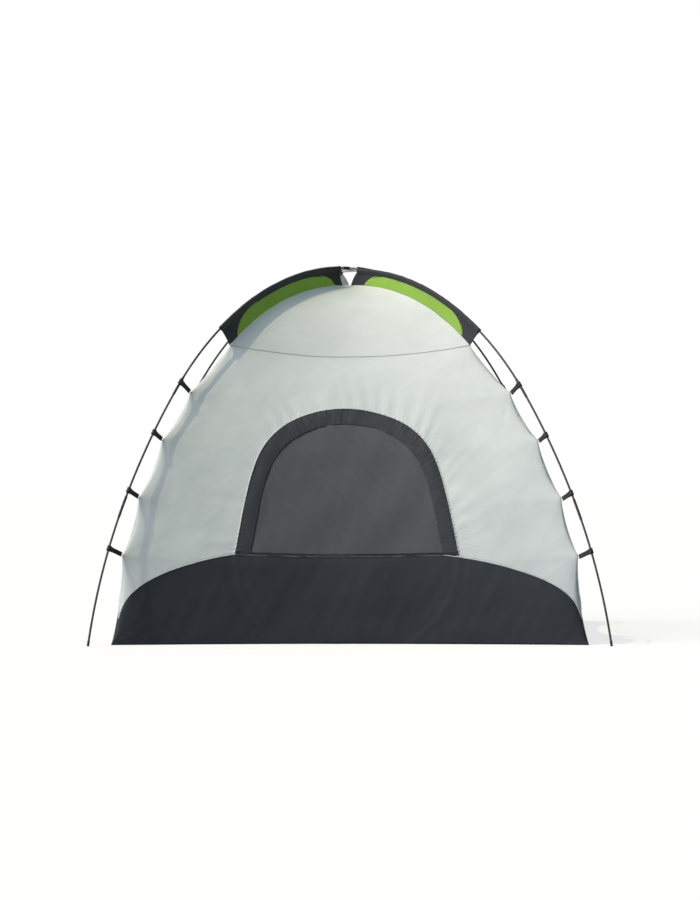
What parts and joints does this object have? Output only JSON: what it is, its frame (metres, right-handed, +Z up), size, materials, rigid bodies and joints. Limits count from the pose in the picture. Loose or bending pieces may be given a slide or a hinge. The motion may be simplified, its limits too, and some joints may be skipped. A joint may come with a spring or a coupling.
{
  "type": "dome tent on crossed poles",
  "caption": "Small dome tent hung from crossed bowed poles by top fins and web loops, with a mesh window, zipped door and tub floor.",
  "frame": {"origin": "middle of the floor, on the ground", "axes": "+Z up, the window side faces -Y and the door side faces +Y, X is across"},
  "size_m": [2.2948, 2.2948, 1.7189],
  "materials": {
    "pole_rod": "black fibreglass rod",
    "ferrule": "plain metal",
    "tip": "black moulded cap",
    "band": "black elastic band",
    "fin_cloth": "black woven cloth",
    "green_cloth": "green woven cloth",
    "webbing": "black woven webbing",
    "canopy": "white coated woven cloth",
    "tub_cloth": "dark grey coated cloth",
    "floor_cloth": "dark grey woven sheet",
    "border_cloth": "dark grey gathered cloth",
    "mesh": "grey fine mesh",
    "flap_cloth": "grey woven cloth",
    "zip": "black coil zip",
    "slider_metal": "dark painted metal"
  },
  "bodies": {
    "tent": {"pole_a_1": "pole_rod", "pole_a_2": "pole_rod", "pole_a_3": "pole_rod", "pole_a_4": "pole_rod", "pole_a_5": "pole_rod", "pole_a_6": "pole_rod", "pole_a_7": "pole_rod", "pole_a_8": "pole_rod", "pole_b_1": "pole_rod", "pole_b_2": "pole_rod", "pole_b_3": "pole_rod", "pole_b_4": "pole_rod", "pole_b_5": "pole_rod", "pole_b_6": "pole_rod", "pole_b_7": "pole_rod", "pole_b_8": "pole_rod", "ferrules_a": "ferrule", "ferrules_b": "ferrule", "pole_tips": "tip", "apex_band": "band", "fin_fl": "fin_cloth", "fin_fr": "fin_cloth", "fin_br": "fin_cloth", "fin_bl": "fin_cloth", "inset_fl": "green_cloth", "inset_fr": "green_cloth", "inset_br": "green_cloth", "inset_bl": "green_cloth", "sleeve_fl": "fin_cloth", "sleeve_fr": "fin_cloth", "sleeve_br": "fin_cloth", "sleeve_bl": "fin_cloth", "loops_fl": "webbing", "loops_fr": "webbing", "loops_br": "webbing", "loops_bl": "webbing", "roof_front": "canopy", "roof_right": "canopy", "roof_back": "canopy", "roof_left": "canopy", "wall_front": "canopy", "wall_right": "canopy", "wall_back": "canopy", "wall_left": "canopy", "tub_front": "tub_cloth", "tub_right": "tub_cloth", "tub_back": "tub_cloth", "tub_left": "tub_cloth", "groundsheet": "floor_cloth", "window_border": "border_cloth", "window_mesh": "mesh", "window_zip": "zip", "door_zip": "zip"},
    "door": {"door_panel": "canopy"},
    "door_zip_slider": {"door_slider": "slider_metal"},
    "door_zip_pull": {"door_pull": "slider_metal"},
    "flap": {"window_flap": "flap_cloth"},
    "flap_zip_slider": {"window_slider": "slider_metal"},
    "flap_zip_pull": {"window_pull": "slider_metal"}
  },
  "joints": [
    {"name": "door_fold", "type": "hinge", "parent": "tent", "child": "door", "pos_m": [0, 0.942, 0.1483], "axis": [-1, 0, 0], "range_deg": [0, 117]},
    {"name": "door_zip_slide", "type": "slide", "parent": "tent", "child": "door_zip_slider", "axis": [0, -0.1592, 0.9872], "range_m": [0, 0.12]},
    {"name": "door_pull_turn", "type": "hinge", "parent": "door_zip_slider", "child": "door_zip_pull", "pos_m": [-0.54486, 0.94627, 0.16861], "axis": [1, 0, 0], "range_deg": [0, 150]},
    {"name": "flap_fold", "type": "hinge", "parent": "tent", "child": "flap", "pos_m": [0, -0.8812, 0.3828], "axis": [-1, 0, 0], "range_deg": [0, 105]},
    {"name": "flap_zip_slide", "type": "slide", "parent": "tent", "child": "flap_zip_slider", "axis": [0, 0.2666, 0.9638], "range_m": [0, 0.12]},
    {"name": "flap_pull_turn", "type": "hinge", "parent": "flap_zip_slider", "child": "flap_zip_pull", "pos_m": [0.4365, -0.87039, 0.39963], "axis": [1, 0, 0], "range_deg": [0, 150]}
  ]
}
